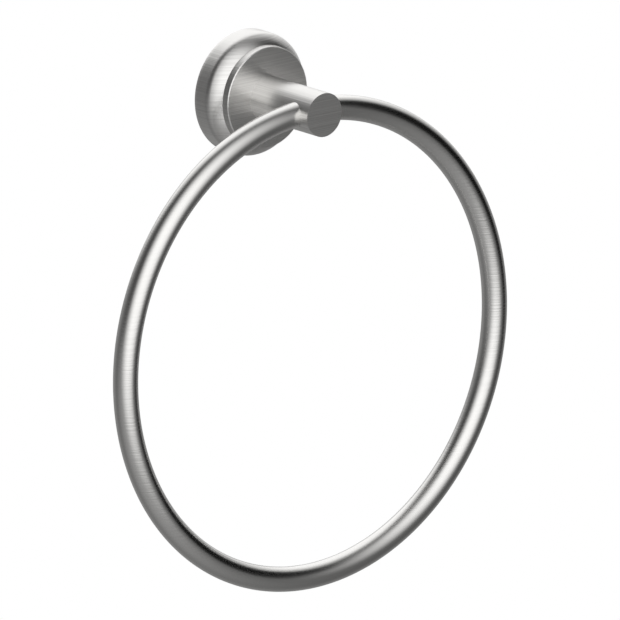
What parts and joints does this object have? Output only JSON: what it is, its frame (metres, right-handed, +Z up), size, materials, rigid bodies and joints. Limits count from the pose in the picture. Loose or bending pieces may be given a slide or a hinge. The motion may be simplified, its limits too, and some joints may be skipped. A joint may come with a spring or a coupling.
{
  "type": "towel ring",
  "caption": "Wall-mounted towel ring: a round-bar ring held in a straight post on a stepped round wall flange, in satin brushed nickel.",
  "frame": {"origin": "centre of the wall face, on the axis of the post", "axes": "+Z up, -Y away from the wall along the post, +X to the right as seen from the room"},
  "size_m": [0.18, 0.045, 0.198],
  "materials": {
    "satin_nickel": "satin brushed nickel",
    "cast_zinc": "bare cast zinc",
    "screw_steel": "plain stainless steel"
  },
  "bodies": {
    "root": {"ring": "satin_nickel", "post_flange": "satin_nickel", "wall_bracket": "cast_zinc", "flange_set_screw": "screw_steel", "ring_lock_screw": "screw_steel"}
  },
  "joints": []
}
